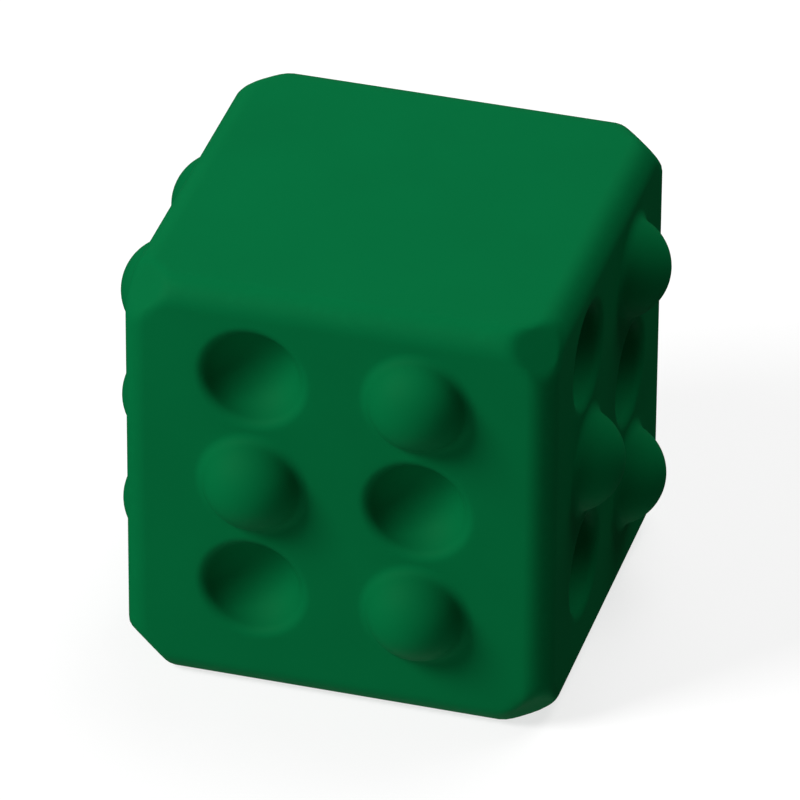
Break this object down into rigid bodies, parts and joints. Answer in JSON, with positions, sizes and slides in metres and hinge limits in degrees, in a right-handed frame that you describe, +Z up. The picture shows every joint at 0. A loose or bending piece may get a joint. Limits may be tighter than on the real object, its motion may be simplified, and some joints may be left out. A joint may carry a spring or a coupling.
{
  "type": "giant yard die",
  "caption": "Giant lawn-game die: a hollow green moulded block with domed and dimpled marks on its sides, clipped corners and a screwed base cover.",
  "frame": {"origin": "middle of the flat underside, on the base cover", "axes": "+Z up, +X to the right-hand side with alternating marks, -Y to the front with alternating marks"},
  "size_m": [0.3428, 0.3174, 0.305],
  "materials": {
    "moulded_green": "satin moulded polyethylene, dark green",
    "cover_green": "fine-textured moulded polyethylene, dark green",
    "seal_rubber": "matt black soft rubber",
    "screw_steel": "plain stainless steel",
    "insert_brass": "turned brass",
    "black_plastic": "satin black moulded nylon",
    "post_grey": "extruded grey pipe"
  },
  "bodies": {
    "die": {"die_shell": "moulded_green", "base_cover": "cover_green", "base_gasket": "seal_rubber", "centre_post": "post_grey", "lower_post_pad": "seal_rubber", "upper_post_pad": "seal_rubber", "base_screw_1": "screw_steel", "base_screw_2": "screw_steel", "base_screw_3": "screw_steel", "base_screw_4": "screw_steel", "base_screw_5": "screw_steel", "base_screw_6": "screw_steel", "base_screw_7": "screw_steel", "base_screw_8": "screw_steel", "threaded_insert_1": "insert_brass", "threaded_insert_2": "insert_brass", "threaded_insert_3": "insert_brass", "threaded_insert_4": "insert_brass", "threaded_insert_5": "insert_brass", "threaded_insert_6": "insert_brass", "threaded_insert_7": "insert_brass", "threaded_insert_8": "insert_brass"},
    "bung_travel": {"bung_seal": "seal_rubber"},
    "bung": {"vent_bung": "black_plastic"}
  },
  "joints": [
    {"name": "bung_out", "type": "slide", "parent": "die", "child": "bung_travel", "axis": [0, 0, -1], "range_m": [0, 0.0112]},
    {"name": "bung_turn", "type": "hinge", "parent": "bung_travel", "child": "bung", "pos_m": [0, 0.058, 0], "axis": [0, 0, -1], "range_deg": [0, 1260]}
  ],
  "couplings": [
    {"joint": "bung_out", "follows": "bung_turn", "m_per_rad": 0.00047746}
  ]
}
